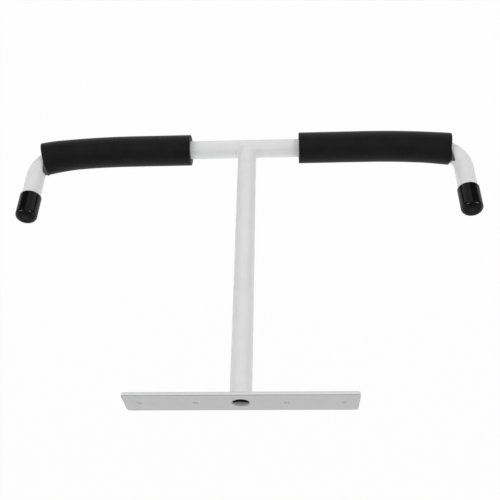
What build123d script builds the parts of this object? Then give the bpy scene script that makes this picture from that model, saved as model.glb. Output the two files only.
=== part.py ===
from build123d import *
import math
import os

# Ceiling-mounted pull-up bar, hung from a joist by its plate, in millimetres and degrees.
# The origin is the centre of the plate's outer face: +Z up into the joist, X along the bar.

# Steel tube, one stock for the stem and the cross bar
tube_od = 30.0
tube_wall = 3.0

# Mounting plate, a length of flat bar
plate_length = 310.0
plate_width = 50.0
plate_thickness = 5.0
plate_corner_radius = 4.0
plate_edge_break = 0.6
screw_hole_d = 8.0
inner_hole_spacing = 120.0
outer_hole_spacing = 270.0

# Cross bar: straight middle, gentle bow, tight bend and an upright end on each side
bar_drop = 450.0
end_spacing = 700.0
straight_length = 390.0
bow_angle = 6.0
end_angle = 90.0
bend_radius = 45.0
end_exposed = 44.0

# Foam grips: inset is from the bar's middle, overrun is how far they pass the tight bend's start
foam_wall = 10.0
foam_clearance = 0.1
left_grip_inset = 86.0
left_grip_overrun = 24.0
right_grip_inset = 94.0
right_grip_overrun = 34.5

# Moulded caps that push on over the upright ends
cap_wall = 2.0
cap_clearance = 0.05
cap_length = 45.0
cap_shoulder_radius = 8.5
cap_rim_radius = 0.6
cap_seat_gap = 0.3
cap_dimple_d = 7.0
cap_dimple_depth = 0.8

# Welds
plate_weld_leg = 4.0
plate_weld_crown = 0.6
bar_weld_radius = 4.0
bar_weld_reach = 62.0
cope_gap = 0.2

# Sizes that follow from those above
tube_r = tube_od / 2
bore_r = tube_r - tube_wall
foam_r = tube_r + foam_clearance + foam_wall
cap_bore_r = tube_r + cap_clearance
cap_r = cap_bore_r + cap_wall
bar_z = -bar_drop
half_span = end_spacing / 2
straight_half = straight_length / 2
bow_sine = math.sin(math.radians(bow_angle))
end_sine = math.sin(math.radians(end_angle))
bow_radius = (half_span - straight_half - bend_radius * (end_sine - bow_sine)) / bow_sine
bend_angle = end_angle - bow_angle
tube_in_cap = cap_length - cap_shoulder_radius - cap_seat_gap
bar_axis = Plane(origin=(0, 0, bar_z), x_dir=(0, 1, 0), z_dir=(1, 0, 0))


# Half of the bar's centre line, from the middle of the bar to the tube's right end
def half_bar_line():
    with BuildLine(Plane.XZ) as line:
        middle = Line((0, bar_z), (straight_half, bar_z))
        bow = JernArc(middle @ 1, middle % 1, bow_radius, bow_angle)
        bend = JernArc(bow @ 1, bow % 1, bend_radius, bend_angle)
        PolarLine(bend @ 1, end_exposed + tube_in_cap, direction=bend % 1)
    return line.wire()


# A grip's centre line: along the bar and the bow, then straight on past the tight bend's start
def grip_line(inset, overrun):
    with BuildLine(Plane.XZ) as line:
        middle = Line((inset, bar_z), (straight_half, bar_z))
        bow = JernArc(middle @ 1, middle % 1, bow_radius, bow_angle)
        PolarLine(bow @ 1, overrun, direction=bow % 1)
    return line.wire()


def swept(section, path):
    return sweep(Plane(origin=path @ 0, z_dir=path % 0) * section, path=path)


def both_sides(half):
    return half + mirror(half, about=Plane.YZ)


def mounting_plate():
    top = (Align.CENTER, Align.CENTER, Align.MAX)
    plate = Box(plate_length, plate_width, plate_thickness, align=top)
    plate = fillet(plate.edges().filter_by(Axis.Z), plate_corner_radius)
    faces = plate.faces().sort_by(Axis.Z)
    plate = chamfer(faces[0].edges() + faces[-1].edges(), plate_edge_break)
    for spacing in (inner_hole_spacing, outer_hole_spacing):
        for x in (-spacing / 2, spacing / 2):
            plate -= Pos(x, 0, 0) * Cylinder(screw_hole_d / 2, plate_thickness, align=top)
    vent_hole = Cylinder(bore_r, plate_thickness, align=top)
    return plate - vent_hole


# Square cut against the plate, coped round the cross bar at its lower end
def stem_tube():
    length = bar_drop - plate_thickness
    top = (Align.CENTER, Align.CENTER, Align.MAX)
    tube = Cylinder(tube_r, length, align=top) - Cylinder(bore_r, length, align=top)
    cope = bar_axis * Cylinder(tube_r + cope_gap, end_spacing)
    return Pos(0, 0, -plate_thickness) * tube - cope


def cross_bar():
    return both_sides(swept(Circle(tube_r) - Circle(bore_r), half_bar_line()))


# Fillet weld round the top of the stem, slightly crowned
def plate_weld():
    foot = (tube_r, -plate_thickness)
    toe_on_plate = (tube_r + plate_weld_leg, -plate_thickness)
    toe_on_stem = (tube_r, -plate_thickness - plate_weld_leg)
    bulge = plate_weld_leg / 2 + plate_weld_crown
    crown = (tube_r + bulge, -plate_thickness - bulge)
    with BuildSketch(Plane.XZ) as section:
        with BuildLine():
            Polyline(toe_on_stem, foot, toe_on_plate)
            ThreePointArc(toe_on_plate, crown, toe_on_stem)
        make_face()
    return revolve(section.sketch, Axis.Z)


# Weld bead on the right of the stem, along the half ellipse where the two equal tubes meet
def bar_weld():
    saddle = Plane(origin=(0, 0, bar_z), x_dir=(1, 0, 1), z_dir=(-1, 0, 1))
    long_r = tube_r * math.sqrt(2)
    seam = EllipticalCenterArc((0, 0), long_r, tube_r, -bar_weld_reach, arc_size=2 * bar_weld_reach)
    seam = saddle * seam
    bead = swept(Circle(bar_weld_radius), seam)
    for end in (seam @ 0, seam @ 1):
        bead += Pos(end) * Sphere(bar_weld_radius)
    stem = Pos(0, 0, bar_z) * Cylinder(tube_r, bar_drop)
    bar = bar_axis * Cylinder(tube_r, end_spacing)
    return bead - stem - bar


# Foam sleeve with a square-cut end, pushed on far enough to hide where the tight bend starts
def grip(inset, overrun):
    sleeve = swept(Circle(foam_r), grip_line(inset, overrun))
    core = swept(Circle(tube_r + foam_clearance), half_bar_line())
    return sleeve - core


# Cap at the right end: even wall, rounded shoulder, a shallow dimple in the middle of its end
def end_cap():
    line = half_bar_line()
    tube_end = Plane(origin=line @ 1, x_dir=(0, 1, 0), z_dir=line % 1)
    top = cap_length
    shoulder = cap_length - cap_shoulder_radius
    flat_r = cap_r - cap_shoulder_radius
    dimple_r = cap_dimple_d / 2
    dimple_curve = (dimple_r ** 2 + cap_dimple_depth ** 2) / (2 * cap_dimple_depth)
    with BuildSketch(Plane.XZ) as section:
        with BuildLine():
            inner_wall = Line((cap_bore_r, 0), (cap_bore_r, shoulder))
            inner_turn = JernArc(inner_wall @ 1, inner_wall % 1, cap_shoulder_radius - cap_wall, 90)
            end_inside = Line(inner_turn @ 1, (0, top - cap_wall))
            axis = Line(end_inside @ 1, (0, top - cap_dimple_depth))
            dimple = RadiusArc(axis @ 1, (dimple_r, top), dimple_curve)
            end_outside = Line(dimple @ 1, (flat_r, top))
            outer_turn = JernArc(end_outside @ 1, end_outside % 1, cap_shoulder_radius, -90)
            outer_wall = Line(outer_turn @ 1, (cap_r, 0))
            Line(outer_wall @ 1, inner_wall @ 0)
        make_face()
        rim = section.vertices().sort_by(Axis.Y)[:2]
        fillet(rim, cap_rim_radius)
    return tube_end * (Pos(0, 0, -tube_in_cap) * revolve(section.sketch, Axis.Z))


parts = {
    "mounting_plate": mounting_plate(),
    "stem_tube": stem_tube(),
    "plate_weld": plate_weld(),
    "cross_bar": cross_bar(),
    "left_bar_weld": mirror(bar_weld(), about=Plane.YZ),
    "right_bar_weld": bar_weld(),
    "left_grip": mirror(grip(left_grip_inset, left_grip_overrun), about=Plane.YZ),
    "right_grip": grip(right_grip_inset, right_grip_overrun),
    "left_end_cap": mirror(end_cap(), about=Plane.YZ),
    "right_end_cap": end_cap(),
}

os.makedirs("parts", exist_ok=True)
for node, shape in parts.items():
    export_step(shape, f"parts/{node}.step")
    print(node, round(shape.volume), "mm3")
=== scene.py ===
from math import asin, atan2, cos, exp, hypot, log, pi, radians, sin, sqrt

import bmesh
import bpy
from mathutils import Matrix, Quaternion, Vector, noise


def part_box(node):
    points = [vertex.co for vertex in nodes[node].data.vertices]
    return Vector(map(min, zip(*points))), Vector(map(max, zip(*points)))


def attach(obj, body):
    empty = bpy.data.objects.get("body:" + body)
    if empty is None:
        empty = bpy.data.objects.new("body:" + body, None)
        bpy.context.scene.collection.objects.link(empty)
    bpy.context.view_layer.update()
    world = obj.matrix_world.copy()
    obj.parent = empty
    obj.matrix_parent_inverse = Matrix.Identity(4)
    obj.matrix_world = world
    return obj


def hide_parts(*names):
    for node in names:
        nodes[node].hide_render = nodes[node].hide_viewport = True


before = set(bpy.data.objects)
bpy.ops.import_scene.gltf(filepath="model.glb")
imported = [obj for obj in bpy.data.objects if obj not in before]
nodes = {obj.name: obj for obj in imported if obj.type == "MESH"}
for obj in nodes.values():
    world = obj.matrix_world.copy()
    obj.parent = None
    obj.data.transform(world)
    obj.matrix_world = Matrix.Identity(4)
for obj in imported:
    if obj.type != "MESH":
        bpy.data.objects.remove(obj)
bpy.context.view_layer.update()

scene = bpy.context.scene
print("frame loaded,", len(nodes), "nodes")

tiny = 1e-6  # metres, under which two points are one
white = (1, 1, 1, 1)


# shader sockets with arithmetic: an operator adds a Math node
class Value:
    def __init__(self, finish, socket):
        self.finish = finish
        self.socket = socket

    def maths(self, operation, first, second):
        return self.finish.node("Math", {"operation": operation}, {0: first, 1: second})

    def __add__(self, other):
        return self.maths("ADD", self, other)

    def __radd__(self, other):
        return self.maths("ADD", other, self)

    def __sub__(self, other):
        return self.maths("SUBTRACT", self, other)

    def __rsub__(self, other):
        return self.maths("SUBTRACT", other, self)

    def __mul__(self, other):
        return self.maths("MULTIPLY", self, other)

    def __rmul__(self, other):
        return self.maths("MULTIPLY", other, self)

    def size(self):
        return self.maths("ABSOLUTE", self, 0.0)

    def root(self):
        return self.maths("SQRT", self, 0.0)

    def atLeast(self, other):
        return self.maths("MAXIMUM", self, other)

    def atMost(self, other):
        return self.maths("MINIMUM", self, other)

    def about(self, spread):  # noise, spread about nought
        return (self - 0.5) * spread


# a material or world being wired up
class Finish:
    def __init__(self, block):
        block.use_nodes = True
        self.block = block
        self.tree = block.node_tree
        self.tree.nodes.clear()

    def node(self, kind, settings=None, sockets=None, out=0):
        made = self.tree.nodes.new("ShaderNode" + kind)
        for key, value in (settings or {}).items():
            setattr(made, key, value)
        for key, value in (sockets or {}).items():
            if isinstance(value, Value):
                self.tree.links.new(value.socket, made.inputs[key])
            else:
                made.inputs[key].default_value = value
        return Value(self, made.outputs[out] if made.outputs else None)

    def place(self):
        return self.node("TexCoord", out="Object")

    def axes(self, place):
        first = self.node("SeparateXYZ", {}, {0: place}, out="X")
        return [Value(self, socket) for socket in first.socket.node.outputs]

    def speckle(self, place, grain):  # grain is the scale and the detail
        scale, detail = grain
        return self.node("TexNoise", {}, {"Vector": place, "Scale": scale, "Detail": detail})

    def between(self, amount, low, high):
        ends = {6: low, 7: high}
        colours = {key: end if isinstance(end, Value) else (*end, 1) for key, end in ends.items()}
        return self.node("Mix", {"data_type": "RGBA"}, {0: amount, **colours}, out=2)

    def fade(self, value, start, end):
        spread = {"Value": value, "From Min": start, "From Max": end}
        return self.node("MapRange", {"interpolation_type": "SMOOTHSTEP"}, spread)

    def bump(self, height, relief):  # relief is the depth and the strength
        depth, strength = relief
        return self.node("Bump", {}, {"Height": height, "Distance": depth, "Strength": strength})

    def surface(self, sockets):
        shader = self.node("BsdfPrincipled", {}, sockets)
        self.node("OutputMaterial", {}, {"Surface": shader})
        return self.block


# the tube and the run of the bar on its right half, in metres
bar = {
    "height": -0.450,
    "endSpacing": 0.700,
    "straight": 0.195,
    "bowAngle": radians(6.0),
    "bendRadius": 0.045,
    "tubeRadius": 0.015,
    "tubeWall": 0.003,
}
tubeBore = bar["tubeRadius"] - bar["tubeWall"]
endReach = bar["endSpacing"] / 2
bowSine = sin(bar["bowAngle"])
bowRadius = (endReach - bar["straight"] - bar["bendRadius"] * (1 - bowSine)) / bowSine
bowEnd = bar["straight"] + bowRadius * bar["bowAngle"]
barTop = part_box("cross_bar")[1].z
plateLow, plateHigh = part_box("mounting_plate")


# white powder coat: satin, orange peel, a faint mottle; bare steel inside the tube bores, darkened further as
# painted shade
powder = {
    "shade": (0.800, 0.800, 0.801),
    "mottle": (0.780, 0.780, 0.782),
    "mottleGrain": (55.0, 3.0),
    "mottleFade": (0.35, 0.65),
    "roughness": 0.40,
    "roughSpread": 0.12,
    "specular": 0.4,
    "peelGrain": (650.0, 1.0),
    "peelRelief": (0.00005, 0.35),
    # bare steel, darkened further as painted shade
    "bareAndShade": (0.036, 0.034, 0.033),
    "bareRoughness": 0.55,
    "stainDepth": 0.55,
    "stainGrain": (260.0, 4.0),
    "stainFade": (0.3, 0.7),
    "raggedGrain": (300.0, 3.0),
    "ragged": 0.0030,
    "boreEdge": (1.01, 1.05),  # in bore radii
    "coatReach": 0.0010,  # how far the coat gets into the bore under the plate
    # painted shade: the dark reaches higher at a bore's sides than at its front and back
    "paintedShadeSpread": 0.0042,  # and how much further at its front and back
    "coatEnd": 0.0002,  # how far it gets in at the bar's ends
    "coatFade": 0.0020,
    "bareDepth": 0.071,
    "sideCoatAndShade": (0.745, 0.745, 0.747),
    "sideFade": (-0.0002, -0.0001),
    "darkEdgeLine": (0.440, 0.440, 0.442),
    "darkLineWidth": 0.0004,
    "plateCorner": 0.0040,
    "plateChamfer": 0.0006,
}


def powderCoat(name, boreMask=None, edgeMasks=None):
    finish = Finish(bpy.data.materials.new(name))
    place = finish.place()
    cloud = finish.speckle(place, powder["mottleGrain"])
    peel = finish.speckle(place, powder["peelGrain"])
    colour = finish.between(finish.fade(cloud, *powder["mottleFade"]), powder["mottle"], powder["shade"])
    rough = powder["roughness"] + peel.about(powder["roughSpread"])
    if edgeMasks:
        # the plate's sides darker, a thinner coat and painted shade; a dark line along its sharp edges
        side, sharp = edgeMasks(finish, place)
        colour = finish.between(side, colour, powder["sideCoatAndShade"])
        colour = finish.between(sharp, colour, powder["darkEdgeLine"])
    # bare steel in the bores, darkened further as painted shade
    if boreMask:
        bareAndShade = boreMask(finish, place)
        stain = finish.fade(finish.speckle(place, powder["stainGrain"]), *powder["stainFade"])
        stained = tuple(powder["stainDepth"] * c for c in powder["bareAndShade"])
        steel = finish.between(stain, stained, powder["bareAndShade"])
        colour = finish.between(bareAndShade, colour, steel)
        rough = rough + bareAndShade * (powder["bareRoughness"] - powder["roughness"])
    return finish.surface({
        "Base Color": colour,
        "Roughness": rough,
        "Specular IOR Level": powder["specular"],
        "Normal": finish.bump(peel, powder["peelRelief"]),
    })


# the bore of a tube standing on a vertical axis at x = +-reach, between two heights, in bare steel darkened
# as painted shade; the coat ends deeper at the front and back, painted shade that reaches higher at the sides
def boreAt(reach, top, low, shadeSpread=0.0):
    def mask(finish, place):
        x, y, height = finish.axes(place)
        across = x.size() - reach
        away = across * across + y * y
        outside = finish.fade(away, *((tubeBore * edge) ** 2 for edge in powder["boreEdge"]))
        ragged = finish.speckle(place, powder["raggedGrain"]).about(powder["ragged"])
        # painted shade: the dark starts higher at the sides of the bore
        shadeDip = y * y * (shadeSpread / tubeBore ** 2)
        under = finish.fade(ragged - height - shadeDip, -top, -top + powder["coatFade"])
        return (1 - outside) * under * finish.fade(height, low, low + powder["coatFade"])
    return mask


# the sides of the plate, darker with a thinner coat and painted shade, and a dark line along its sharp edges
def plateEdges(finish, place):
    corner = powder["plateCorner"]
    chamfer = powder["plateChamfer"]
    half = (plateHigh - plateLow) / 2
    x, y, height = finish.axes(place)
    overX = (x.size() - (half.x - corner)).atLeast(0.0)
    overY = (y.size() - (half.y - corner)).atLeast(0.0)
    outward = (overX * overX + overY * overY).root() - corner
    upward = (height + half.z).size() - half.z
    # the sides darker: a thinner coat and painted shade
    side = finish.fade(outward, *powder["sideFade"])
    sharp = finish.fade(outward + upward, -chamfer - powder["darkLineWidth"], -chamfer)
    return side, sharp


stemBore = boreAt(0.0, -powder["coatReach"], bar["height"], powder["paintedShadeSpread"])
barBore = boreAt(endReach, barTop - powder["coatEnd"], barTop - powder["bareDepth"])
nodes["mounting_plate"].data.materials[0] = powderCoat("powder_coat_plate", stemBore, plateEdges)
nodes["stem_tube"].data.materials[0] = powderCoat("powder_coat_stem", stemBore)
nodes["cross_bar"].data.materials[0] = powderCoat("powder_coat_bar", barBore)
weldFinish = powderCoat("powder_coat_weld")
print("powder coat on plate, stem and bar")


# soft dipped vinyl of the caps: glossy black with the slow waves of a dipped skin
vinyl = {
    "shade": (0.0040, 0.0040, 0.0042),
    "thin": (0.0065, 0.0065, 0.0067),
    "thinFade": (0.4, 0.7),
    "roughness": 0.45,
    "roughSpread": 0.2,
    "gloss": 0.48,
    "glossRoughness": 0.06,
    "waveGrain": (90.0, 1.0),
    "waveRelief": (0.0005, 0.25),
    "dustGrain": (1400.0, 2.0),
    "dustFade": (0.5, 0.8),
    "dustLoss": 0.10,
}


def vinylFinish():
    finish = Finish(bpy.data.materials.new("dipped_vinyl"))
    place = finish.place()
    wave = finish.speckle(place, vinyl["waveGrain"])
    dust = finish.speckle(place, vinyl["dustGrain"])
    return finish.surface({
        "Base Color": finish.between(finish.fade(wave, *vinyl["thinFade"]), vinyl["shade"], vinyl["thin"]),
        "Roughness": vinyl["roughness"] + dust.about(vinyl["roughSpread"]),
        "Specular IOR Level": 0.0,
        "Coat Weight": vinyl["gloss"] - finish.fade(dust, *vinyl["dustFade"]) * vinyl["dustLoss"],
        "Coat Roughness": vinyl["glossRoughness"],
        "Normal": finish.bump(wave, vinyl["waveRelief"]),
    })


capFinish = vinylFinish()
for nodeName in ("left_end_cap", "right_end_cap"):
    nodes[nodeName].data.materials[0] = capFinish
print("vinyl on the caps")


# closed-cell foam: a matt moulded skin, and the greyer open cells of a cut end, their pits darkened as
# painted shade
foam = {
    "shade": (0.0055, 0.0055, 0.0057),
    "bloom": (0.0082, 0.0082, 0.0085),
    "bloomGrain": (38.0, 4.0),
    "bloomFade": (0.35, 0.7),
    "roughness": 0.62,
    "roughSpread": 0.2,
    "specular": 0.17,
    "sheen": 0.15,
    "sheenRoughness": 0.4,
    "cellScale": 1900.0,
    "cellRelief": (0.00010, 0.5),
    "cutPitShade": (0.030, 0.030, 0.031),
    "cutPale": (0.105, 0.105, 0.107),
    "cutFade": (0.1, 0.6),
    "cutRoughness": 0.85,
    "cutSpecular": 0.2,
    "cutScale": 900.0,
    "cutRelief": (0.0004, 0.6),
}


def foamSkin():
    finish = Finish(bpy.data.materials.new("foam_skin"))
    place = finish.place()
    cells = finish.node("TexVoronoi", {}, {"Vector": place, "Scale": foam["cellScale"]})
    cloud = finish.speckle(place, foam["bloomGrain"])
    return finish.surface({
        "Base Color": finish.between(finish.fade(cloud, *foam["bloomFade"]), foam["shade"], foam["bloom"]),
        "Roughness": foam["roughness"] + cloud.about(foam["roughSpread"]),
        "Specular IOR Level": foam["specular"],
        "Sheen Weight": foam["sheen"],
        "Sheen Roughness": foam["sheenRoughness"],
        "Normal": finish.bump(cells, foam["cellRelief"]),
    })


def foamCut():
    finish = Finish(bpy.data.materials.new("foam_cut_end"))
    place = finish.place()
    cells = finish.node("TexVoronoi", {}, {"Vector": place, "Scale": foam["cutScale"]})
    return finish.surface({
        # the cells' pits darker: painted shade
        "Base Color": finish.between(finish.fade(cells, *foam["cutFade"]), foam["cutPitShade"], foam["cutPale"]),
        "Roughness": foam["cutRoughness"],
        "Specular IOR Level": foam["cutSpecular"],
        "Normal": finish.bump(cells, foam["cutRelief"]),
    })


# a point at run along the bar, rise above its axis and side across it
def onBar(run, side, rise):
    turn = min(max(run - bar["straight"], 0.0) / bowRadius, bar["bowAngle"])
    x = min(run, bar["straight"]) + bowRadius * sin(turn)
    z = bar["height"] + bowRadius * (1 - cos(turn))
    beyond = max(run - bowEnd, 0.0)
    x += beyond * cos(turn) - rise * sin(turn)
    z += beyond * sin(turn) + rise * cos(turn)
    return Vector((x, side, z))


# past the bow the soft sleeve gives way to the tight bend by a share of its turn
def followBend(run, rise, share):
    wide = bar["bendRadius"] / share
    turn = (run - bowEnd) / (wide + grips["kept"] * grips["skin"])
    return bowEnd + (wide - rise) * sin(turn), wide - (wide - rise) * cos(turn)


# moves a point that the tight bend would pass through out to the tube's wall
def clearOfBend(run, side, rise, gap):
    ahead = max(run - bowEnd, tiny)
    below = bar["bendRadius"] - rise
    radius = hypot(ahead, below)
    out = radius - bar["bendRadius"]
    near = max(hypot(out, side), tiny)
    soft = min(grips["soften"], grips["softenShare"] * ahead)
    grow = (near + soft * log(1 + exp((gap - near) / soft))) / near
    scale = (bar["bendRadius"] + out * grow) / radius
    return bowEnd + ahead * scale, side * grow, bar["bendRadius"] - below * scale


# slides a point along the tight bend
def slideAlongBend(run, rise, turn):
    ahead = run - bowEnd
    below = bar["bendRadius"] - rise
    slid = ahead * cos(turn) + below * sin(turn)
    return bowEnd + slid, bar["bendRadius"] - below * cos(turn) + ahead * sin(turn)


def ease(value, start, end):
    t = min(max((value - start) / (end - start), 0.0), 1.0)
    return t * t * (3 - 2 * t)


def newPiece(name, bm, finishes, sharpAngle):
    if bm.calc_volume(signed=True) < 0.0:  # the shell came out inside out
        bmesh.ops.reverse_faces(bm, faces=bm.faces[:])
    mesh = bpy.data.meshes.new(name)
    bm.to_mesh(mesh)
    bm.free()
    mesh.shade_smooth()
    mesh.set_sharp_from_angle(angle=sharpAngle)
    for finish in finishes:
        mesh.materials.append(finish)
    piece = bpy.data.objects.new(name, mesh)
    scene.collection.objects.link(piece)
    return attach(piece, "frame")


# foam grips: roll and lip are how far the bend drags the skin's and the bore's edge along with it
grips = {
    "bore": 0.0151,
    "skin": 0.0255,
    "corner": 0.0011,
    "cornerSteps": 4,
    "endRings": 6,
    "around": 96,
    "step": 0.0030,
    "endStep": 0.0012,
    "endZone": 0.050,
    "wave": 0.00012,
    "waveScale": 45.0,
    "squeeze": 0.28,
    "crowded": -0.9,
    "kept": 0.5,  # where the sleeve keeps its length, in skin radii below its axis
    "soften": 0.0012,
    "softenShare": 0.15,
    "loose": (radians(55), radians(100)),  # the bore leaves the tube between these angles
    "facing": 0.9,
    "sharpAngle": radians(50),
    "fill": 0.9,
    "left_grip": {
        "side": -1, "inset": 0.086, "overrun": 0.0240, "follow": 0.04, "bulge": 0.0012,
        "roll": radians(9), "rollLean": radians(8), "rollSpread": radians(22),
        "lip": radians(68), "lipLean": radians(28), "lipFlat": radians(4), "lipFall": radians(24),
    },
    "right_grip": {
        "side": 1, "inset": 0.094, "overrun": 0.0345, "follow": 0.19, "bulge": 0.0030,
        "roll": radians(9), "rollLean": radians(-5), "rollSpread": radians(20),
        "lip": radians(80), "lipLean": radians(14), "lipFlat": radians(16), "lipFall": radians(20),
    },
}


# the skin, crowded up towards its end; past the bow tilted a little, held off the tube and rolled up
# along the inside of the bend
def skinSpot(own, run, around):
    share = (run - bowEnd) / own["overrun"]
    crowd = ease(share, grips["crowded"], 1.0)
    level = grips["skin"] + own["bulge"] * crowd * (1 + cos(around)) / 2
    side = -level * sin(around)
    rise = level * cos(around)
    if share > 0.0:
        gap = grips["bore"] + (grips["skin"] - grips["bore"]) * grips["squeeze"]
        roll = own["roll"] * exp(-((around - own["rollLean"]) / own["rollSpread"]) ** 2)
        run, rise = followBend(run, rise, own["follow"])
        run, side, rise = clearOfBend(run, side, rise, gap)
        run, rise = slideAlongBend(run, rise, roll * share)
    return Vector((run, side, rise))


# the bore past the bow: on the tube's wall inside the bend, straight on elsewhere
def boreSpot(own, run, around):
    side = -grips["bore"] * sin(around)
    rise = grips["bore"] * cos(around)
    share = (run - bowEnd) / own["overrun"]
    if share > 0.0:
        loose = ease(abs(around), *grips["loose"])
        plain = asin(own["overrun"] / bar["bendRadius"])
        fall = ease(abs(around - own["lipLean"]) - own["lipFlat"], 0.0, own["lipFall"])
        onTube = slideAlongBend(bowEnd, rise, share * (own["lip"] + (plain - own["lip"]) * fall))
        free = followBend(run, rise, own["follow"])
        run, rise = Vector(onTube).lerp(Vector(free), loose)
        run, side, rise = clearOfBend(run, side, rise, grips["bore"])
    return Vector((run, side, rise))


def foamGrip(name, finishes):
    own = grips[name]
    bore = grips["bore"]
    skin = grips["skin"]
    inset = own["inset"]
    outer = bowEnd + own["overrun"]
    zone = outer - grips["endZone"]
    bm = bmesh.new()
    wall = [(inset, bore), (inset, skin), (zone, skin), (outer, skin), (outer, bore), (zone, bore)]
    loop = [bm.verts.new((run, 0.0, level)) for run, level in wall]
    edges = [bm.edges.new((a, b)) for a, b in zip(loop, loop[1:] + loop[:1])]
    long = int((zone - inset) / grips["step"])
    short = int(grips["endZone"] / grips["endStep"])
    for pair, cuts in (((1, 5), long), ((2, 4), short - 1), ((0, 3), grips["endRings"])):
        bmesh.ops.subdivide_edges(bm, edges=[edges[i] for i in pair], cuts=cuts)
    bmesh.ops.spin(
        bm, geom=bm.verts[:] + bm.edges[:], cent=(0, 0, 0), axis=(1, 0, 0),
        angle=2 * pi, steps=grips["around"], use_merge=True,
    )
    bmesh.ops.remove_doubles(bm, verts=bm.verts[:], dist=tiny)
    bmesh.ops.recalc_face_normals(bm, faces=bm.faces[:])

    def onRim(v):
        atEnd = min(v.co.x - inset, outer - v.co.x)
        return hypot(v.co.y, v.co.z) > skin - 10 * tiny and atEnd < 10 * tiny

    rims = [e for e in bm.edges if all(onRim(v) for v in e.verts)]
    bmesh.ops.bevel(
        bm, geom=rims, offset=grips["corner"], segments=grips["cornerSteps"], profile=0.5,
        affect="EDGES", material=-1,
    )
    for face in bm.faces:
        face.material_index = 1 if abs(face.normal.x) > grips["facing"] else 0  # the cut ends
    for v in bm.verts:
        run, side, rise = v.co
        around = atan2(-side, rise)
        depth = (hypot(side, rise) - bore) / (skin - bore)
        spot = boreSpot(own, run, around).lerp(skinSpot(own, run, around), depth)
        swell = 1 + noise.noise(spot * grips["waveScale"]) * grips["wave"] * depth / skin
        v.co = onBar(spot.x, spot.y * swell, spot.z * swell)
        v.co.x *= own["side"]
    bmesh.ops.recalc_face_normals(bm, faces=bm.faces[:])
    piece = newPiece(name.replace("_grip", "_foam_grip"), bm, finishes, grips["sharpAngle"])
    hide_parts(name)


foamFinishes = (foamSkin(), foamCut())
for gripName in ("left_grip", "right_grip"):
    foamGrip(gripName, foamFinishes)
print("foam grips made")


# weld beads, rippled as they are laid
welds = {
    "pitch": 0.0021,
    "pitchRadius": 0.0175,  # where the pitch is measured, from the stem's axis
    "ripple": 0.00018,
    "rippleBow": 0.35,
    "rippleMean": 0.6,
    "leg": 0.0028,
    "crown": 0.0022,
    "reach": radians(62.0),
    "nose": 0.16,
    "grid": (150, 20),
    "crownShare": 0.6,  # of the bead's section, the rest is its root
    "rootSunk": 0.0004,
    "plateLeg": 0.0040,
    "plateCrown": 0.0032,
    "plateSteps": 320,
    "plateCuts": 9,
    "footSunk": 0.0003,
    "toeSunk": 0.0001,
    "sharpAngle": radians(80),
}


def ripple(turn, across):
    phase = turn * welds["pitchRadius"] / welds["pitch"] + welds["rippleBow"] * across * across
    return welds["ripple"] * (abs(sin(pi * phase)) - welds["rippleMean"])


def laidBead(name, node, bm):
    bmesh.ops.recalc_face_normals(bm, faces=bm.faces[:])
    piece = newPiece(name, bm, (weldFinish,), welds["sharpAngle"])
    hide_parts(node)


# the round fillet under the plate
def plateBead():
    tube = bar["tubeRadius"]
    under = plateLow.z
    sunk = welds["footSunk"]
    toe = welds["toeSunk"]
    leg = welds["plateLeg"]
    bm = bmesh.new()
    foot = bm.verts.new((tube - sunk, 0, under + sunk))
    first = bm.verts.new((tube + leg, 0, under + toe))
    last = bm.verts.new((tube - toe, 0, under - leg))
    bm.edges.new((foot, first))
    bm.edges.new((last, foot))
    face = bm.edges.new((first, last))
    bmesh.ops.subdivide_edges(bm, edges=[face], cuts=welds["plateCuts"])
    bmesh.ops.spin(
        bm, geom=bm.verts[:] + bm.edges[:], cent=(0, 0, 0), axis=(0, 0, 1),
        angle=2 * pi, steps=welds["plateSteps"], use_merge=True,
    )
    bmesh.ops.remove_doubles(bm, verts=bm.verts[:], dist=tiny)
    for v in bm.verts:
        radial = hypot(v.co.x, v.co.y)
        out = radial - tube
        down = under - v.co.z
        if min(out, down) < -(sunk + toe) / 2:  # the foot stays in the corner
            continue
        across = (out - down) / leg
        swell = 1 - across * across
        lift = swell * (welds["plateCrown"] - leg / sqrt(2) + ripple(atan2(v.co.y, v.co.x), across))
        grown = (radial + lift / sqrt(2)) / radial
        v.co = Vector((v.co.x * grown, v.co.y * grown, v.co.z - lift / sqrt(2)))
    laidBead("plate_weld_bead", "plate_weld", bm)


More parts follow.
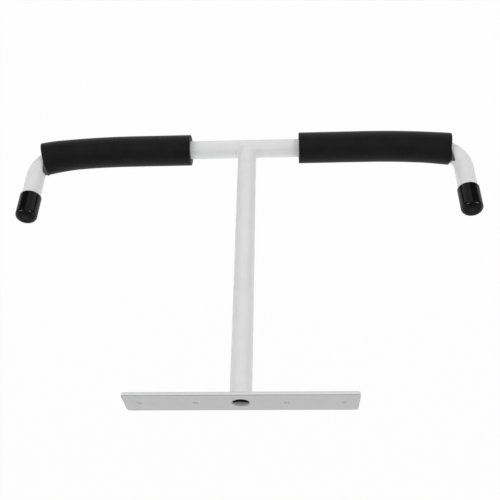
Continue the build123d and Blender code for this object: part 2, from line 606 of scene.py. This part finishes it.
# the bead in the corner between stem and bar, along the half ellipse where they meet
def barBead(name, side):
    tube = bar["tubeRadius"]
    crownShare = welds["crownShare"]
    columns, rows = welds["grid"]
    bm = bmesh.new()
    bmesh.ops.create_grid(bm, x_segments=columns, y_segments=rows, size=1.0)
    for v in bm.verts:
        u, around = v.co.x, (v.co.y + 1) / 2
        t = welds["reach"] * u
        seam = Vector((tube * cos(t), tube * sin(t), bar["height"] + tube * cos(t)))
        lead = Vector((-sin(t), cos(t), -sin(t))).normalized()
        stemOut = Vector((cos(t), sin(t), 0))
        barOut = Vector((0, sin(t), cos(t)))
        upStem = stemOut.cross(lead)
        upStem *= 1 if upStem.z > 0 else -1
        alongBar = barOut.cross(lead)
        alongBar *= 1 if alongBar.x > 0 else -1
        tip = max(0.0, (abs(u) - 1 + welds["nose"]) / welds["nose"])
        width = sqrt(max(0.0, 1 - tip * tip))
        if around <= crownShare:  # the visible crown, from the stem's toe to the bar's
            share = around / crownShare
            across = 2 * share - 1
            swell = 1 - across * across
            turn = upStem.lerp(alongBar, share).normalized()
            reach = welds["leg"] + (welds["crown"] - welds["leg"]) * swell
            reach += swell * ripple(t, across)
            spot = seam + turn * reach * width
        else:  # the root, sunk a little into both walls
            share = (around - crownShare) / (1 - crownShare)
            leg = welds["leg"] * width
            if share < 0.5:
                spot = seam + alongBar * leg * (1 - 2 * share)
            else:
                spot = seam + upStem * leg * (2 * share - 1)
            spot -= (stemOut + barOut) * welds["rootSunk"] * sin(pi * share) * width
        v.co = Vector((spot.x * side, spot.y, spot.z))
    bmesh.ops.remove_doubles(bm, verts=bm.verts[:], dist=2 * tiny)
    laidBead(name + "_bead", name, bm)


plateBead()
barBead("left_bar_weld", -1)
barBead("right_bar_weld", 1)
print("weld beads laid")


# studio: pale paper floor under the hanging bar, a surround, and three pairs of soft boxes
studio = {
    "floorHeight": -0.80,
    "floorBack": (-0.50, -0.20),
    "floorSize": 12.0,
    "floorShade": (0.86, 0.86, 0.86),
    "floorGrain": (40.0, 3.0),
    "floorRoughness": 0.9,
    "floorSpread": 0.1,
    "floorSpecular": 0.1,
    "floorWhite": 0.97,
    "paperSide": (0.34, 0.48),
    "paperCut": 0.20,
    "besidePaper": 0.04,
    "surround": 0.53,
    "dimFront": 0.40,
    "backdrop": (-0.45, 0.25),
    "backdropTop": (0.36, 0.60),
    "ceiling": 0.45,
    "boxAim": (0.0, 0.0, -0.40),
    "frontBoxes": {
        "across": 2.4, "along": -2.4, "height": 0.06, "size": (1.7, 0.8), "power": 27.0, "mirrored": True,
    },
    "backBoxes": {
        "across": 0.3, "along": 0.50, "height": -0.10, "size": (0.3, 0.2), "power": 1.1, "mirrored": False,
    },
    "topBoxes": {
        "across": 0.9, "along": -0.30, "height": 2.00, "size": (1.4, 1.0), "power": 1.6, "mirrored": False,
    },
}


# rays that end in the picture, straight from the camera or by way of a mirror or glass
def seenRays(finish):
    straight = finish.node("LightPath", out="Is Camera Ray")
    outs = straight.socket.node.outputs
    mirrored = Value(finish, outs["Is Glossy Ray"]) + Value(finish, outs["Is Transmission Ray"])
    return straight, mirrored.atMost(1.0)


# white to the camera; mirrored, it is white only further back, and dark in front at both sides
def floorFinish():
    finish = Finish(bpy.data.materials.new("floor_paper"))
    place = finish.place()
    grain = finish.speckle(place, studio["floorGrain"])
    paper = finish.node("BsdfPrincipled", {}, {
        "Base Color": (*studio["floorShade"], 1),
        "Roughness": studio["floorRoughness"] + grain.about(studio["floorSpread"]),
        "Specular IOR Level": studio["floorSpecular"],
    })
    glow = finish.node("Emission", {}, {"Color": white, "Strength": 1.0})
    unlit = finish.node("Emission", {}, {"Color": white, "Strength": studio["besidePaper"]})
    straight, mirrored = seenRays(finish)
    x, y, _ = finish.axes(place)
    aside = finish.fade(x.size(), *studio["paperSide"])
    behind = finish.fade(y - aside * studio["paperCut"], *studio["floorBack"])
    seen = (straight + mirrored * behind) * studio["floorWhite"]
    mixed = finish.node("MixShader", {}, {0: seen, 1: paper, 2: glow})
    whole = finish.node("MixShader", {}, {0: mirrored * (1 - behind) * aside, 1: mixed, 2: unlit})
    finish.node("OutputMaterial", {}, {"Surface": whole})
    return finish.block


def makeFloor():
    bm = bmesh.new()
    bmesh.ops.create_grid(bm, x_segments=1, y_segments=1, size=studio["floorSize"])
    bmesh.ops.translate(bm, verts=bm.verts[:], vec=(0, 0, studio["floorHeight"]))
    mesh = bpy.data.meshes.new("floor")
    bm.to_mesh(mesh)
    bm.free()
    mesh.materials.append(floorFinish())
    floor = bpy.data.objects.new("floor", mesh)
    scene.collection.objects.link(floor)


# white to the camera; mirrored, it darkens towards the front and overhead
def makeSurround():
    scene.world = bpy.data.worlds.new("surround")
    finish = Finish(scene.world)
    level = studio["surround"]
    dim = studio["dimFront"]
    _, y, height = finish.axes(finish.node("TexCoord", out="Generated"))
    back = finish.fade(y, *studio["backdrop"])
    dark = finish.fade(height, *studio["backdropTop"]) * (1 - studio["ceiling"])
    straight, mirrored = seenRays(finish)
    shown = (dim + back * (1 - dim)) * (1 - dark)
    strength = level + straight * (1 - level) + mirrored * (shown - level)
    sky = finish.node("Background", {}, {"Color": white, "Strength": strength})
    finish.node("OutputWorld", {}, {"Surface": sky})


def makeBoxes(pair):
    for side in (-1, 1):
        place = Vector((side * pair["across"], pair["along"], pair["height"]))
        lamp = bpy.data.lights.new("soft_box", "AREA")
        lamp.shape = "RECTANGLE"
        lamp.size, lamp.size_y = pair["size"]
        lamp.energy = pair["power"]
        box = bpy.data.objects.new("soft_box", lamp)
        box.location = place
        box.rotation_mode = "QUATERNION"
        box.rotation_quaternion = (Vector(studio["boxAim"]) - place).to_track_quat("-Z", "Y")
        box.visible_glossy = pair["mirrored"]
        box.visible_camera = False
        scene.collection.objects.link(box)


makeFloor()
makeSurround()
for pairName in ("frontBoxes", "backBoxes", "topBoxes"):
    makeBoxes(studio[pairName])
print("studio set")


# the picture is taken with the plate at the bottom, so the camera is turned over
view = {
    "eye": (-0.06166, -0.87469, 0.36434),
    "target": (-0.00803, 0.0, -0.24412),
    "roll": radians(-178.841),
    "lens": 50.94,
    "sensor": 36.0,
    "farthest": 50.0,
}


def makeCamera():
    camera = bpy.data.objects.new("camera", bpy.data.cameras.new("camera"))
    camera.data.sensor_width = view["sensor"]
    camera.data.lens = view["lens"]
    camera.data.clip_end = view["farthest"]
    camera.location = view["eye"]
    aim = (Vector(view["target"]) - Vector(view["eye"])).to_track_quat("-Z", "Y")
    camera.rotation_mode = "QUATERNION"
    camera.rotation_quaternion = aim @ Quaternion((0, 0, 1), view["roll"])
    scene.collection.objects.link(camera)
    scene.camera = camera


makeCamera()
scene.view_settings.view_transform = "Standard"
print("camera set")
